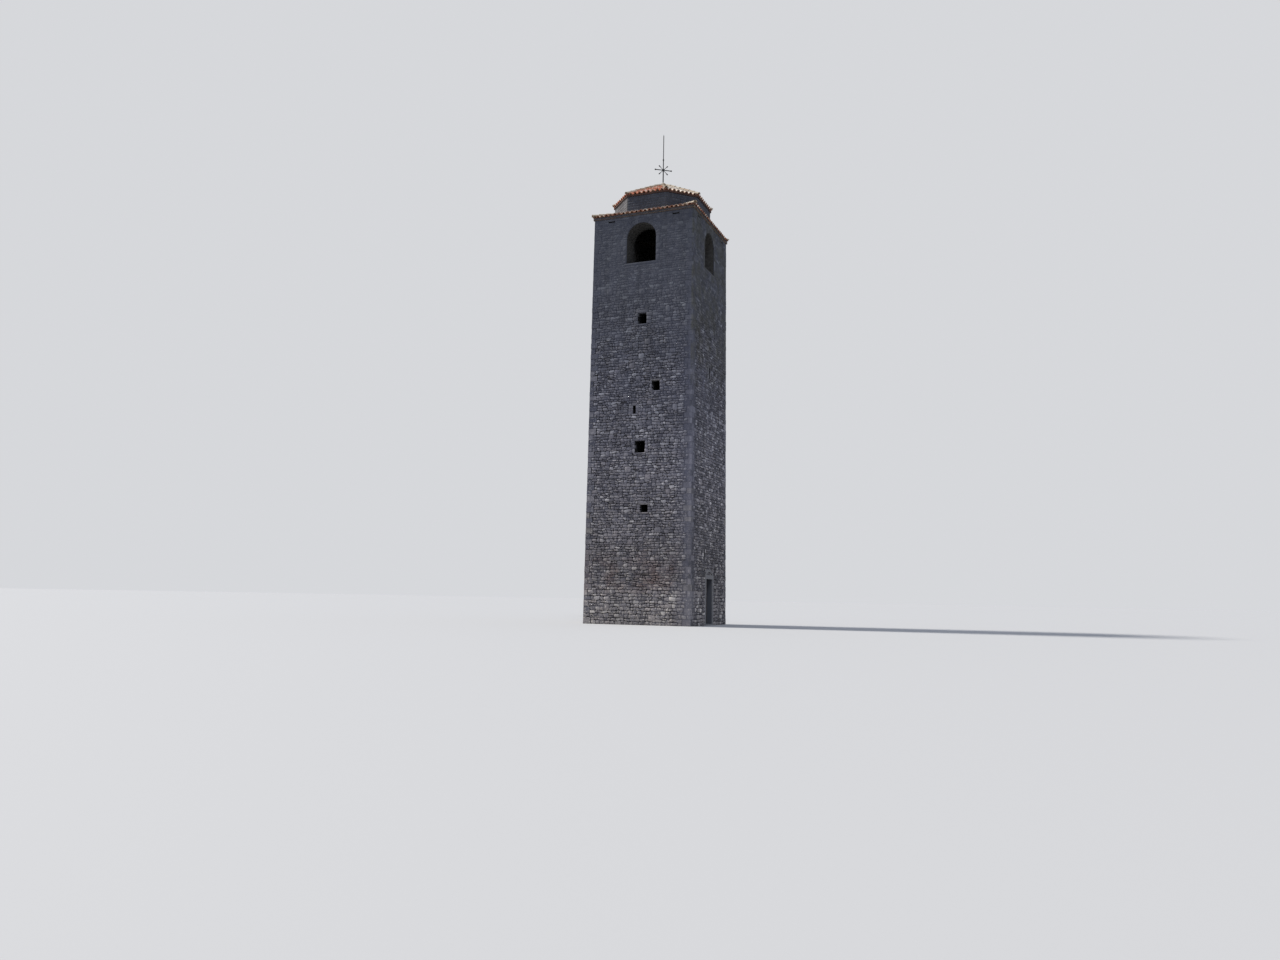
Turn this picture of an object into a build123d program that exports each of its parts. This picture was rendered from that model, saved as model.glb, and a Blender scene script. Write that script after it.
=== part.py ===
"""A stone clock tower: battered shaft, arched belfry, octagonal lantern and two tiled roofs.

Millimetres. +Z is up, the front looks along -Y and the doorway along +X. The origin is on the
ground, at the middle of the plan.
"""

import os
from math import atan, cos, degrees, radians, sin, sqrt, tan

from build123d import *

os.makedirs("parts", exist_ok=True)

# Shaft: four battered walls, thinner in steps that make a ledge inside each stage
base_width = 4600
shaft_narrowing = 140
shaft_height = 17000
lower_stage_height = 5600
belfry_height = 2400
ground_wall_thickness = 1150
upper_ledge = 110
belfry_ledge = 120

# Windows: a straight throat at the face, then a splay, as sideways growth for each step in
throat_depth = 250
splay = 0.18
low_window_offset = 258
low_window_sill = 4480
low_window_width = 350
low_window_height = 320
middle_window_offset = 41
middle_window_sill = 6910
middle_window_width = 450
middle_window_height = 505
front_slot_offset = -235
front_slot_sill = 8520
front_slot_width = 120
front_slot_height = 360
high_window_offset = 690
high_window_sill = 9440
high_window_width = 350
high_window_height = 430
top_window_offset = 37
top_window_sill = 12280
top_window_width = 400
top_window_height = 480
low_slot_offset = -625
low_slot_sill = 2620
low_slot_width = 110
low_slot_height = 470
high_slot_offset = -100
high_slot_sill = 10265
high_slot_width = 110
high_slot_height = 490

# Belfry: one round arch in each wall, and beam holes near the top of each wall
arch_sill_rise = 340
arch_jamb_height = 1060
front_arch_width = 1310
front_arch_offset = -70
side_arch_width = 1240
side_arch_offset = -147
beam_hole_width = 320
beam_hole_height = 90
beam_hole_depth = 250
front_beam_hole_offset = 1445
side_beam_hole_offset = 1560
beam_hole_drop = 150
cut_clearance = 50

# Floors
threshold_height = 60
belfry_floor_thickness = 150

# Doorway: a stone frame at the face, and a wider passage behind it for the leaf
door_width = 810
door_head = 1885
jamb_width = 140
frame_depth = 220
frame_projection = 15
threshold_projection = 20
lintel_height = 165
relieving_span = 760
relieving_rise = 130
relieving_thickness = 120
relieving_depth = 160
relieving_projection = 12
tympanum_recess = 40

# Door leaf, hung on two strap hinges that turn on pintles in the passage wall
leaf_thickness = 50
leaf_frame_gap = 8
leaf_side_gap = 10
leaf_floor_gap = 10
leaf_head_lap = 50
strap_length = 800
strap_height = 60
strap_thickness = 8
lower_strap_level = 400
upper_strap_level = 1600
eye_radius = 16
pin_radius = 9
pin_clearance = 0.2
pin_rise = 10
hinge_setback = 25
shank_height = 18
running_gap = 0.3

# Eaves and the lower roof, a tiled skirt from the shaft to the lantern
eaves_course_height = 90
eaves_course_projection = 45
eaves_tile_projection = 55
tile_edge = 80
skirt_pitch = 20
lower_hip_radius = 85
lower_hip_inset = 15
lower_hip_drop = 30

# Lantern: an octagon with four long faces and four shorter ones at the corners
lantern_width = 3820
lantern_face = 1752
lantern_height = 910
lantern_wall_thickness = 430
deck_thickness = 50
deck_projection = 45

# Upper roof
upper_overhang = 90
upper_roof_rise = 1110
roof_thickness = 150
upper_hip_radius = 75
upper_hip_inset = 60
cap_radius = 245
cap_lap = 26
cap_edge = 20
cap_rise = 60
cap_top_radius = 45

# Finial: an iron pole with a knob, and a cross with rays that turns its face off the walls
pole_radius = 25
pole_neck_radius = 21
pole_tip_radius = 17
pole_clearance = 0.3
tip_length = 90
cross_above_apex = 650
knob_above_cross = 475
pole_above_knob = 1195
knob_radius = 38
boss_radius = 42
boss_height = 84
arm_reach = 365
arm_radius = 19
arm_knob_radius = 34
arm_swell = 45
ray_reach = 265
ray_radius = 11
ray_knob_radius = 25
ray_swell = 95
cross_turn = 35

# Worked out from the sizes above
top_width = base_width - shaft_narrowing
batter = shaft_narrowing / 2 / shaft_height
belfry_level = shaft_height - belfry_height
arch_sill = belfry_level + arch_sill_rise
arch_springing = arch_sill + arch_jamb_height
beam_hole_level = shaft_height - beam_hole_drop
lower_half_room = base_width / 2 - ground_wall_thickness
upper_half_room = lower_half_room + upper_ledge
belfry_half_room = upper_half_room + belfry_ledge
half_passage = door_width / 2 + jamb_width
lintel_top = door_head + lintel_height
frame_back = base_width / 2 - frame_depth
leaf_front = frame_back - leaf_frame_gap
leaf_back = leaf_front - leaf_thickness
hinge_x = leaf_back - eye_radius
hinge_y = half_passage - hinge_setback
course_top = shaft_height + eaves_course_height
eave_half = top_width / 2 + eaves_course_projection + eaves_tile_projection
lantern_top = course_top + lantern_height
deck_top = lantern_top + deck_thickness
apex_level = deck_top + tile_edge + upper_roof_rise
cross_level = apex_level + cross_above_apex
knob_level = cross_level + knob_above_cross
pole_top = knob_level + pole_above_knob

sides = {"front": 0, "right": 90, "back": 180, "left": 270}


def half_width(level):
    """Half the width of the shaft at a level."""
    return base_width / 2 - batter * level


def plan_plane(angle, level):
    """A level plane whose -Y looks out of the side at this angle."""
    turn = radians(angle)
    return Plane(origin=(0, 0, level), x_dir=(cos(turn), sin(turn), 0), z_dir=(0, 0, 1))


def face_plane(angle, distance):
    """An upright plane that looks out of a side, at a distance from the tower's axis."""
    turn = radians(angle)
    out = (sin(turn), -cos(turn), 0)
    origin = (distance * out[0], distance * out[1], 0)
    return Plane(origin=origin, x_dir=(cos(turn), sin(turn), 0), z_dir=out)


def save(part, name):
    """Label a finished piece and write it."""
    part.label = name
    export_step(part, f"parts/{name}.step")


def wall_stage(angle, bottom, top, half_room, half_span=None, cuts=()):
    """One stage of a side: battered outside, upright inside, from corner to corner or between."""
    with BuildPart() as wall:
        for level in (bottom, top):
            half = half_width(level)
            reach = half_span if half_span else half
            with BuildSketch(plan_plane(angle, level)):
                with Locations((0, -(half + half_room) / 2)):
                    Rectangle(2 * reach, half - half_room)
        loft(ruled=True)
        for cut in cuts:
            add(cut, mode=Mode.SUBTRACT)
    return wall.part


def window(angle, half_room, offset, sill, width, height):
    """The space of a window: a straight throat at the face and a splay to the room."""
    throat = half_width(sill + height / 2) - throat_depth
    spread = (throat - half_room) * splay
    stations = [(throat + 2 * throat_depth, 0), (throat, 0), (half_room, spread)]
    left, right = offset - width / 2, offset + width / 2
    plan = [(left - growth, -out) for out, growth in stations]
    plan += [(right + growth, -out) for out, growth in reversed(stations)]
    section = [(-out, sill - growth) for out, growth in stations]
    section += [(-out, sill + height + growth) for out, growth in reversed(stations)]
    turn = radians(angle)
    along = Vector(cos(turn), sin(turn), 0)
    inwards = Vector(-sin(turn), cos(turn), 0)
    cut_across = Plane(origin=along * (left - spread), x_dir=inwards, z_dir=along)
    with BuildPart() as space:
        with BuildSketch(plan_plane(angle, sill - spread)):
            Polygon(*plan, align=None)
        extrude(amount=height + 2 * spread)
        with BuildSketch(cut_across):
            Polygon(*section, align=None)
        extrude(amount=width + 2 * spread, mode=Mode.INTERSECT)
    return space.part


def arch_space(angle, width, offset):
    """The space of a belfry arch: an upright opening under a half circle, through the wall."""
    with BuildPart() as space:
        with BuildSketch(face_plane(angle, belfry_half_room)):
            with Locations((offset, (arch_sill + arch_springing) / 2)):
                Rectangle(width, arch_springing - arch_sill)
            with Locations((offset, arch_springing)):
                Circle(width / 2)
        extrude(amount=half_width(arch_sill) - belfry_half_room + cut_clearance)
    return space.part


def beam_holes(angle, offset):
    """Two shallow pockets where scaffold beams stood, near the top corners of a side."""
    with BuildPart() as space:
        with BuildSketch(face_plane(angle, half_width(beam_hole_level) - beam_hole_depth)):
            with Locations((-offset, beam_hole_level), (offset, beam_hole_level)):
                Rectangle(beam_hole_width, beam_hole_height)
        extrude(amount=2 * beam_hole_depth)
    return space.part


# Windows of each side: the back repeats the front, and the left repeats the right
front_windows = [
    (middle_window_offset, middle_window_sill, middle_window_width, middle_window_height),
    (front_slot_offset, front_slot_sill, front_slot_width, front_slot_height),
    (high_window_offset, high_window_sill, high_window_width, high_window_height),
    (top_window_offset, top_window_sill, top_window_width, top_window_height),
]
high_slot = (high_slot_offset, high_slot_sill, high_slot_width, high_slot_height)
low_window = (low_window_offset, low_window_sill, low_window_width, low_window_height)
low_slot = (low_slot_offset, low_slot_sill, low_slot_width, low_slot_height)

# Front and back walls, which run from corner to corner
for name in ("front", "back"):
    angle = sides[name]
    low_cut = window(angle, lower_half_room, *low_window)
    wall = wall_stage(angle, 0, lower_stage_height, lower_half_room, cuts=[low_cut])
    save(wall, f"{name}_wall_lower")
    upper_cuts = [window(angle, upper_half_room, *size) for size in front_windows]
    wall = wall_stage(angle, lower_stage_height, belfry_level, upper_half_room, cuts=upper_cuts)
    save(wall, f"{name}_wall_upper")

# Left and right walls, which stand between the front and the back
left_cut = window(sides["left"], lower_half_room, *low_slot)
left_wall = wall_stage(
    sides["left"], 0, lower_stage_height, lower_half_room, lower_half_room, [left_cut]
)
save(left_wall, "left_wall_lower")
for name in ("left", "right"):
    angle = sides[name]
    cut = window(angle, upper_half_room, *high_slot)
    wall = wall_stage(
        angle, lower_stage_height, belfry_level, upper_half_room, upper_half_room, [cut]
    )
    save(wall, f"{name}_wall_upper")

# Belfry walls. Arches that face each other are in line, and the beam holes are in the front and
# back walls, whose ends show on the left and right sides.
side_holes = [beam_holes(sides[name], side_beam_hole_offset) for name in ("left", "right")]
for name, offset in (("front", front_arch_offset), ("back", -front_arch_offset)):
    angle = sides[name]
    cuts = [arch_space(angle, front_arch_width, offset)]
    cuts += [beam_holes(angle, front_beam_hole_offset), *side_holes]
    wall = wall_stage(angle, belfry_level, shaft_height, belfry_half_room, cuts=cuts)
    save(wall, f"{name}_belfry_wall")
for name, offset in (("right", side_arch_offset), ("left", -side_arch_offset)):
    angle = sides[name]
    cut = arch_space(angle, side_arch_width, offset)
    wall = wall_stage(
        angle, belfry_level, shaft_height, belfry_half_room, belfry_half_room, [cut]
    )
    save(wall, f"{name}_belfry_wall")

# Doorway wall: two piers beside the passage
with BuildPart() as left_pier:
    for level in (0, lintel_top):
        with BuildSketch(plan_plane(sides["right"], level)):
            depth = half_width(level) - lower_half_room
            with Locations((-(half_passage + lower_half_room) / 2, -lower_half_room - depth / 2)):
                Rectangle(lower_half_room - half_passage, depth)
    loft(ruled=True)
save(left_pier.part, "right_wall_left_of_door")

with BuildPart() as right_pier:
    mirror(left_pier.part, about=Plane.XZ)
save(right_pier.part, "right_wall_right_of_door")

# Relieving arch over the lintel: a segment of a ring, bedded in the wall over the doorway
relieving_radius = (relieving_span**2 / 4 + relieving_rise**2) / (2 * relieving_rise)
relieving_centre = lintel_top + relieving_rise - relieving_radius
relieving_outer = relieving_radius + relieving_thickness
relieving_face = half_width(lintel_top)


def segment_over_lintel(distance, radius, depth):
    """A slice of a disc above the lintel, with its flat side on the lintel."""
    with BuildPart() as slice_of_disc:
        with BuildSketch(face_plane(sides["right"], distance)):
            with Locations((0, relieving_centre)):
                Circle(radius)
            with Locations((0, lintel_top + radius)):
                Rectangle(2 * radius, 2 * radius, mode=Mode.INTERSECT)
        extrude(amount=depth)
    return slice_of_disc.part


ring_back = relieving_face - relieving_depth
ring_length = relieving_depth + relieving_projection
outer_segment = segment_over_lintel(ring_back, relieving_outer, ring_length)
inner_segment = segment_over_lintel(ring_back, relieving_radius, ring_length)
tympanum_back = relieving_face - tympanum_recess
tympanum = segment_over_lintel(tympanum_back, relieving_radius, 2 * tympanum_recess)

with BuildPart() as relieving_arch:
    add(outer_segment)
    add(inner_segment, mode=Mode.SUBTRACT)
save(relieving_arch.part, "relieving_arch")

over_door = wall_stage(
    sides["right"],
    lintel_top,
    lower_stage_height,
    lower_half_room,
    lower_half_room,
    [
        relieving_arch.part,
        tympanum,
        window(sides["right"], lower_half_room, *low_slot),
    ],
)
save(over_door, "right_wall_over_door")

# Stone door frame: a threshold, two jambs on it and a lintel across them
frame_run = frame_depth + frame_projection
with BuildPart() as threshold:
    with BuildSketch(face_plane(sides["right"], frame_back)):
        with Locations((0, threshold_height / 2)):
            Rectangle(2 * half_passage, threshold_height)
    extrude(amount=frame_depth + threshold_projection)
save(threshold.part, "threshold")

with BuildPart() as jambs:
    with BuildSketch(face_plane(sides["right"], frame_back)):
        centre = door_width / 2 + jamb_width / 2
        middle = (threshold_height + door_head) / 2
        with Locations((-centre, middle), (centre, middle)):
            Rectangle(jamb_width, door_head - threshold_height)
    extrude(amount=frame_run)
save(jambs.part, "door_jambs")

with BuildPart() as lintel:
    with BuildSketch(face_plane(sides["right"], frame_back)):
        with Locations((0, door_head + lintel_height / 2)):
            Rectangle(2 * half_passage, lintel_height)
    extrude(amount=frame_run)
save(lintel.part, "door_lintel")

# Floors: paving on the ground that runs into the passage, and the belfry floor on its ledge
with BuildPart() as ground_floor:
    with BuildSketch():
        Rectangle(2 * lower_half_room, 2 * lower_half_room)
        with Locations(((lower_half_room + frame_back) / 2, 0)):
            Rectangle(frame_back - lower_half_room, 2 * half_passage)
    extrude(amount=threshold_height)
save(ground_floor.part, "ground_floor")

with BuildPart() as belfry_floor:
    with BuildSketch(Plane.XY.offset(belfry_level)):
        Rectangle(2 * belfry_half_room, 2 * belfry_half_room)
    extrude(amount=belfry_floor_thickness)
save(belfry_floor.part, "belfry_floor")

# Door leaf, closed behind the frame
leaf_bottom = threshold_height + leaf_floor_gap
leaf_top = door_head + leaf_head_lap
leaf_half = half_passage - leaf_side_gap
with BuildPart() as leaf:
    with BuildSketch(face_plane(sides["right"], leaf_back)):
        with Locations((0, (leaf_bottom + leaf_top) / 2)):
            Rectangle(2 * leaf_half, leaf_top - leaf_bottom)
    extrude(amount=leaf_thickness)
save(leaf.part, "door_leaf")

# Strap hinges on the inner face of the leaf, each with an eye at its end
strap_levels = (lower_strap_level, upper_strap_level)
with BuildPart() as straps:
    for level in strap_levels:
        with BuildSketch(Plane.XY.offset(level - strap_height / 2)):
            with Locations((leaf_back - strap_thickness / 2, hinge_y - strap_length / 2)):
                Rectangle(strap_thickness, strap_length)
            with Locations((hinge_x, hinge_y)):
                Circle(eye_radius)
                Circle(pin_radius + pin_clearance, mode=Mode.SUBTRACT)
        extrude(amount=strap_height)
save(straps.part, "door_straps")

# Pintles: a pin under each eye, on a shank that is leaded into the passage wall
with BuildPart() as pintles:
    for level in strap_levels:
        shank_top = level - strap_height / 2 - running_gap
        with BuildSketch(Plane.XY.offset(shank_top - shank_height)):
            with Locations((hinge_x, hinge_y + hinge_setback / 2)):
                Rectangle(2 * pin_radius, hinge_setback)
            with Locations((hinge_x, hinge_y)):
                Circle(pin_radius)
        extrude(amount=shank_height)
        with BuildSketch(Plane.XY.offset(shank_top)):
            with Locations((hinge_x, hinge_y)):
                Circle(pin_radius)
        extrude(amount=running_gap + strap_height + pin_rise)
save(pintles.part, "door_pintles")

# Octagons are given by half their width and half the length of a long face
corner_gain = sqrt(2) - 1
lantern_outer = (lantern_width / 2, lantern_face / 2)


def grown(octagon, distance):
    """The octagon with every face moved out by a distance."""
    return octagon[0] + distance, octagon[1] + distance * corner_gain


lantern_inner = grown(lantern_outer, -lantern_wall_thickness)
roof_edge = grown(lantern_outer, upper_overhang)


def ring_side(angle, half, octagon, bottom, height):
    """One mitred side of a square ring around an octagon."""
    reach, face = octagon
    corner = (reach + face) / 2
    outline = [(-half, -half), (half, -half), (corner, -corner)]
    outline += [(face, -reach), (-face, -reach), (-corner, -corner)]
    with BuildPart() as side:
        with BuildSketch(plan_plane(angle, bottom)):
            Polygon(*outline, align=None)
        extrude(amount=height)
    return side.part


def pitched_plane(angle, distance, level, pitch):
    """A roof plane that rises inwards from an eave at a distance from the axis."""
    turn = radians(angle)
    out_x, out_y = sin(turn), -cos(turn)
    lean = sin(radians(pitch))
    upright = cos(radians(pitch))
    origin = (distance * out_x, distance * out_y, level)
    return Plane(origin=origin, z_dir=(lean * out_x, lean * out_y, upright))


# Eaves course: flat stones on the wall tops, which bridge the corners to carry the octagon
course_half = top_width / 2 + eaves_course_projection
for name, angle in sides.items():
    course = ring_side(angle, course_half, lantern_inner, shaft_height, eaves_course_height)
    save(course, f"{name}_eaves_course")

# Lower roof: tiles bedded on the course, from the eave up to the lantern wall
skirts = {}
for name, angle in sides.items():
    with BuildPart() as skirt:
        add(ring_side(angle, eave_half, lantern_outer, course_top, lantern_height))
        skirt_top = pitched_plane(angle, eave_half, course_top + tile_edge, skirt_pitch)
        split(bisect_by=skirt_top, keep=Keep.BOTTOM)
    skirts[name] = skirt.part
    save(skirt.part, f"{name}_lower_roof")


# Lantern walls: four long sides and four corner sides, mitred at the octagon's corners
def octagon_corners(octagon, angle, is_corner):
    """The two ends of a face, seen with that face, or the corner right of it, in front."""
    reach, face = octagon
    if is_corner:
        return (face, -reach), (reach, -face)
    return (-face, -reach), (face, -reach)


def lantern_wall(angle, is_corner):
    """One side of the lantern, from its outer face to its inner one."""
    start, end = octagon_corners(lantern_outer, angle, is_corner)
    inner_start, inner_end = octagon_corners(lantern_inner, angle, is_corner)
    with BuildPart() as wall:
        with BuildSketch(plan_plane(angle, course_top)):
            Polygon(start, end, inner_end, inner_start, align=None)
        extrude(amount=lantern_height)
    return wall.part


for name, angle in sides.items():
    save(lantern_wall(angle, False), f"lantern_{name}_wall")

with BuildPart() as lantern_corners:
    for angle in sides.values():
        add(lantern_wall(angle, True))
save(lantern_corners.part, "lantern_corner_walls")

# Deck that closes the lantern and carries the upper roof
deck_reach, deck_face = grown(lantern_outer, deck_projection)
deck_outline = [(-deck_face, -deck_reach), (deck_face, -deck_reach)]
deck_outline += [(deck_reach, -deck_face), (deck_reach, deck_face)]
deck_outline += [(-x, -y) for x, y in deck_outline]
with BuildPart() as deck:
    with BuildSketch(Plane.XY.offset(lantern_top)):
        Polygon(*deck_outline, align=None)
    extrude(amount=deck_thickness)
save(deck.part, "lantern_roof_deck")

# Half-round hip tiles of the lower roof, from over the corner of the eave to the lantern. Their
# low ends overhang both eaves a little and are cut level below
lower_hip_start = eave_half - lower_hip_inset
lower_hip_end = (lantern_outer[0] + lantern_outer[1]) / 2
hip_slope = tan(radians(skirt_pitch))
lower_hip_length = (lower_hip_start - lower_hip_end) * sqrt(2 + hip_slope**2)
with BuildPart() as lower_hips:
    for angle in sides.values():
        turn = radians(angle + 45)
        out_x, out_y = sin(turn) * sqrt(2), -cos(turn) * sqrt(2)
        start_level = course_top + tile_edge + lower_hip_inset * hip_slope
        start = (lower_hip_start * out_x, lower_hip_start * out_y, start_level)
        with BuildSketch(Plane(origin=start, z_dir=(-out_x, -out_y, hip_slope))):
            Circle(lower_hip_radius)
        extrude(amount=lower_hip_length)
    for skirt_part in skirts.values():
        add(skirt_part, mode=Mode.SUBTRACT)
    add(lantern_corners.part, mode=Mode.SUBTRACT)
    split(bisect_by=Plane.XY.offset(course_top + tile_edge - lower_hip_drop), keep=Keep.TOP)
save(lower_hips.part, "lower_hip_tiles")


# Upper roof: eight slopes that rise to one point over the axis, cut level under the cap
cap_seat = apex_level - (cap_radius - cap_lap) * upper_roof_rise / roof_edge[0]


def roof_slope(angle, is_corner):
    """One slope of the upper roof, a slab with a level seat on the deck."""
    start, end = octagon_corners(roof_edge, angle, is_corner)
    facing = angle + 45 if is_corner else angle
    distance = (roof_edge[0] + roof_edge[1]) / sqrt(2) if is_corner else roof_edge[0]
    pitch = degrees(atan(upper_roof_rise / distance))
    top_plane = pitched_plane(facing, distance, deck_top + tile_edge, pitch)
    with BuildPart() as slope:
        with BuildSketch(plan_plane(angle, deck_top)):
            Polygon((0, 0), start, end, align=None)
        extrude(amount=tile_edge + 2 * upper_roof_rise)
        split(bisect_by=top_plane, keep=Keep.BOTTOM)
        split(bisect_by=top_plane.offset(-roof_thickness), keep=Keep.TOP)
        split(bisect_by=Plane.XY.offset(cap_seat), keep=Keep.BOTTOM)
        with BuildSketch(Plane.XY.offset(deck_top)):
            Circle(pole_radius + pole_clearance)
        extrude(amount=tile_edge + 2 * upper_roof_rise, mode=Mode.SUBTRACT)
    return slope.part


main_slope_parts = [roof_slope(angle, False) for angle in sides.values()]
corner_slope_parts = [roof_slope(angle, True) for angle in sides.values()]
with BuildPart() as main_slopes:
    add(main_slope_parts)
save(main_slopes.part, "upper_roof_main_slopes")

with BuildPart() as corner_slopes:
    add(corner_slope_parts)
save(corner_slopes.part, "upper_roof_corner_slopes")

# Cap of mortar at the point of the roof, around the foot of the pole
with BuildPart() as cap:
    with BuildSketch(Plane.XZ):
        with BuildLine():
            Polyline(
                (pole_radius + pole_clearance, cap_seat),
                (cap_radius, cap_seat),
                (cap_radius, cap_seat + cap_edge),
                (cap_top_radius, apex_level + cap_rise),
                (pole_radius + pole_clearance, apex_level + cap_rise),
                close=True,
            )
        make_face()
    revolve(axis=Axis.Z)
save(cap.part, "roof_cap")

# Half-round hip tiles of the upper roof, from each corner of the octagon up to the cap
with BuildPart() as upper_hips:
    for angle in sides.values():
        for corner_x in (-roof_edge[1], roof_edge[1]):
            turn = radians(angle)
            edge_x = corner_x * cos(turn) + roof_edge[0] * sin(turn)
            edge_y = corner_x * sin(turn) - roof_edge[0] * cos(turn)
            run = sqrt(edge_x**2 + edge_y**2)
            share = 1 - upper_hip_inset / run
            start_level = deck_top + tile_edge + upper_roof_rise * (1 - share)
            start = (edge_x * share, edge_y * share, start_level)
            with BuildSketch(Plane(origin=start, z_dir=(-edge_x, -edge_y, upper_roof_rise))):
                Circle(upper_hip_radius)
            extrude(amount=(share * run - cap_radius) * sqrt(1 + (upper_roof_rise / run) ** 2))
    add(main_slopes.part, mode=Mode.SUBTRACT)
    add(corner_slopes.part, mode=Mode.SUBTRACT)
save(upper_hips.part, "upper_hip_tiles")

# Finial pole: stands on the deck, with a shoulder for the cross, a knob and a pointed end
shoulder_level = cross_level - boss_height / 2


def knob_outline(centre, radius):
    """The outer half of a forged knob's outline, as places along and out from its rod's axis."""
    slant = radius / sqrt(2)
    return [(centre, radius), (centre + slant, slant)]


with BuildPart() as pole:
    with BuildSketch(Plane.XZ):
        with BuildLine():
            Polyline(
                (0, deck_top),
                (pole_radius, deck_top),
                (pole_radius, shoulder_level),
                (pole_neck_radius, shoulder_level),
                (pole_neck_radius, knob_level - knob_radius),
                *[(out, level) for level, out in knob_outline(knob_level, knob_radius)],
                (pole_tip_radius, knob_level + knob_radius),
                (pole_tip_radius, pole_top - tip_length),
                (0, pole_top),
                close=True,
            )
        make_face()
    revolve(axis=Axis.Z)
save(pole.part, "finial_pole")

# Cross: a boss on the pole's shoulder, two arms and four rays, each swelling to a knob at its end
cross_centre = Vector(0, 0, cross_level)
cross_normal = Vector(sin(radians(cross_turn)), -cos(radians(cross_turn)), 0)


def knobbed_rod(lean, radius, reach, swell, end_knob):
    """A rod from the centre of the cross that leans up from the level arm, with a knob."""
    run = cos(radians(lean))
    across, along = cos(radians(cross_turn)), sin(radians(cross_turn))
    direction = Vector(run * across, run * along, sin(radians(lean)))
    outline = [(0, 0), (0, radius), (reach - swell, radius)]
    outline += [*knob_outline(reach, end_knob), (reach + end_knob, 0)]
    with BuildPart() as rod:
        with BuildSketch(Plane(origin=cross_centre, x_dir=direction, z_dir=cross_normal)):
            Polygon(*outline, align=None)
        revolve(axis=Axis(cross_centre, direction))
    return rod.part


with BuildPart() as cross:
    with BuildSketch(Plane.XY.offset(shoulder_level)):
        Circle(boss_radius)
    extrude(amount=boss_height)
    for lean in (0, 180):
        add(knobbed_rod(lean, arm_radius, arm_reach, arm_swell, arm_knob_radius))
    for lean in (45, 135, 225, 315):
        add(knobbed_rod(lean, ray_radius, ray_reach, ray_swell, ray_knob_radius))
    with BuildSketch(Plane.XY.offset(shoulder_level)):
        Circle(pole_neck_radius + pole_clearance)
    extrude(amount=boss_height, mode=Mode.SUBTRACT)
save(cross.part, "cross")
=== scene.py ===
"""A stone clock tower, dressed for its pictures.

The CAD walls are the mortar core. Facing stones, quoins, tiles and boards are laid on it as
meshes. Metres: +Z is up, the front looks along -Y and the doorway along +X.
"""

import bisect
import math
import random
from functools import partial

import bpy
from mathutils import Matrix, Vector


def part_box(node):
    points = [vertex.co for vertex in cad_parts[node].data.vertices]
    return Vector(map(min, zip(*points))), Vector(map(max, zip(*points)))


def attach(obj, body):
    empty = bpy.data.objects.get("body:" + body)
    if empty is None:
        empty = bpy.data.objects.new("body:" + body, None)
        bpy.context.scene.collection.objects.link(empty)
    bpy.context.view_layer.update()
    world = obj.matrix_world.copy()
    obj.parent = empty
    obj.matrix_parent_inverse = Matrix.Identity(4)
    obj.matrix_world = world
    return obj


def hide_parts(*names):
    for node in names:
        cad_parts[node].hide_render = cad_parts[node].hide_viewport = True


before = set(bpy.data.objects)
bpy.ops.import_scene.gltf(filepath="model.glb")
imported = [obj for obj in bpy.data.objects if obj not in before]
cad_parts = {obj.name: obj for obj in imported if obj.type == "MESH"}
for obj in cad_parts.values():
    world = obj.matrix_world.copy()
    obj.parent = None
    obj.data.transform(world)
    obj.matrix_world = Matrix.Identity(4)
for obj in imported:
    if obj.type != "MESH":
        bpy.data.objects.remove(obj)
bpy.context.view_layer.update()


# Wall core: the body of every wall, small rubble packed in grey lime mortar. Outside it shows
# only as the recessed joints between the facing stones. In the openings and the rooms it is bare.


def linear(red, green, blue):
    """A colour from 0-255 values as a screen shows them."""
    shares = (red / 255, green / 255, blue / 255)
    return [s / 12.92 if s <= 0.04045 else ((s + 0.055) / 1.055) ** 2.4 for s in shares] + [1]


def shades(*stops):
    """Stops for a ramp: each a position, then red, green and blue as a screen shows them."""
    return [(position, linear(*colour)) for position, *colour in stops]


def finish(name):
    """A new material, and the coordinates of the piece that has it."""
    made = bpy.data.materials.new(name)
    made.use_nodes = True
    return made, made.node_tree.nodes.new("ShaderNodeTexCoord").outputs["Object"]


def feed(made, key, value):
    """Links a socket to a node's input, or sets the input to a value."""
    if isinstance(value, bpy.types.NodeSocket):
        value.id_data.links.new(value, made.inputs[key])
    else:
        made.inputs[key].default_value = value


def node(kind, inputs, **settings):
    """A shader node, in the tree of its inputs: values or sockets, by name or number."""
    sockets = [value for value in inputs.values() if isinstance(value, bpy.types.NodeSocket)]
    made = sockets[0].id_data.nodes.new("ShaderNode" + kind)
    for key, value in settings.items():
        setattr(made, key, value)
    for key, value in inputs.items():
        feed(made, key, value)
    return made


def surface(look, colour, roughness, metallic=0.0):
    """Gives a finish its colour, its roughness and its metal."""
    shader = look.node_tree.nodes["Principled BSDF"]
    for key, value in (("Base Color", colour), ("Roughness", roughness), ("Metallic", metallic)):
        feed(shader, key, value)


def own_share(place):
    """A random share from 0 to 1 for each stone, tile or board."""
    return place.id_data.nodes.new("ShaderNodeNewGeometry").outputs["Random Per Island"]


def stretched(place, scale):
    """Coordinates stretched so that a texture is longer one way."""
    return node("Mapping", {"Vector": place, "Scale": scale}).outputs["Vector"]


def noise(place, scale, detail=5, roughness=0.6):
    """Fractal noise from 0 to 1."""
    inputs = {"Vector": place, "Scale": scale, "Detail": detail, "Roughness": roughness}
    return node("TexNoise", inputs).outputs["Fac"]


def ramp(factor, stops):
    """Colours along a factor, as (position, colour) pairs."""
    made = node("ValToRGB", {"Fac": factor})
    bands = made.color_ramp.elements
    while len(bands) < len(stops):
        bands.new(1)
    for band, (position, colour) in zip(bands, stops):
        band.position, band.color = position, colour
    return made.outputs["Color"]


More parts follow.
